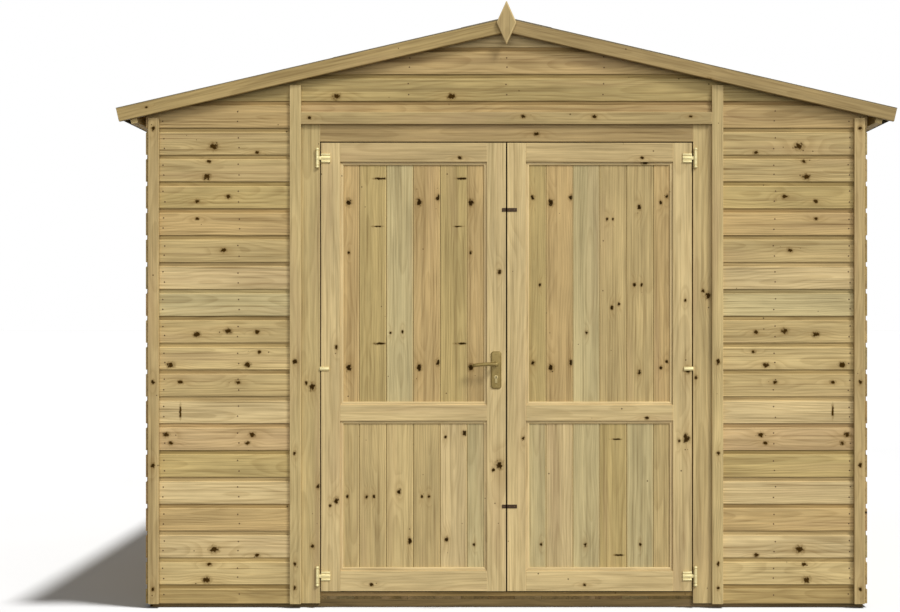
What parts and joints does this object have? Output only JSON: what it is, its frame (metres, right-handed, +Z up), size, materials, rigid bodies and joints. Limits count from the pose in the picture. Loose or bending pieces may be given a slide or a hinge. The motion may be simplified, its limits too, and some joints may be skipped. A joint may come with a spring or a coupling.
{
  "type": "double-door apex garden shed",
  "caption": "Timber garden shed with an apex roof, shiplap walls and a pair of panelled doors in the gable end that swing outward.",
  "frame": {"origin": "on the ground under the middle of the shed", "axes": "front with the doors faces -Y, +Z up, +X along the front to its right as seen from outside"},
  "size_m": [3.236, 2.53, 2.5196],
  "materials": {
    "cladding": "rough",
    "joinery": "rough",
    "framing": "rough",
    "treated_base": "rough",
    "felt": "rough",
    "hinge_brass": "satin",
    "handle_brass": "satin",
    "dark_metal": "satin"
  },
  "bodies": {
    "shed": {"floor_bearers": "treated_base", "floor_boards": "framing", "threshold": "treated_base", "front_wall_left": "cladding", "front_wall_right": "cladding", "front_gable": "cladding", "back_wall": "cladding", "left_wall": "cladding", "right_wall": "cladding", "end_studs": "framing", "side_studs": "framing", "bottom_rails": "framing", "top_rails": "framing", "gable_rafters": "framing", "door_posts": "framing", "door_header": "framing", "purlins": "framing", "eaves_battens": "joinery", "left_roof_boards": "framing", "right_roof_boards": "framing", "left_roof_felt": "felt", "right_roof_felt": "felt", "front_barge_boards": "joinery", "back_barge_boards": "joinery", "finials": "joinery", "corner_trims": "joinery", "cover_trims": "joinery", "door_trims": "joinery", "door_surround": "joinery", "door_stops": "framing", "hinge_barrels": "hinge_brass"},
    "left_door": {"left_door_stiles": "joinery", "left_door_rails": "joinery", "left_door_panels": "joinery", "left_hinge_plates": "hinge_brass", "handle_plates": "handle_brass", "lock_cylinder": "handle_brass", "left_catch_plates": "dark_metal"},
    "right_door": {"right_door_stiles": "joinery", "right_door_rails": "joinery", "right_door_panels": "joinery", "right_hinge_plates": "hinge_brass", "right_catch_plates": "dark_metal"},
    "door_handle": {"outer_lever": "handle_brass", "inner_lever": "handle_brass"}
  },
  "joints": [
    {"name": "left_door_swing", "type": "hinge", "parent": "shed", "child": "left_door", "pos_m": [-0.78725, -1.213, 1], "axis": [0, 0, -1], "range_deg": [0, 150]},
    {"name": "right_door_swing", "type": "hinge", "parent": "shed", "child": "right_door", "pos_m": [0.78725, -1.213, 1], "axis": [0, 0, 1], "range_deg": [0, 150]},
    {"name": "door_handle_turn", "type": "hinge", "parent": "left_door", "child": "door_handle", "pos_m": [-0.04325, -1.204, 1.0155], "axis": [0, -1, 0], "range_deg": [0, 40], "stiffness_Nm_per_rad": 2, "springref_deg": -17.19}
  ]
}
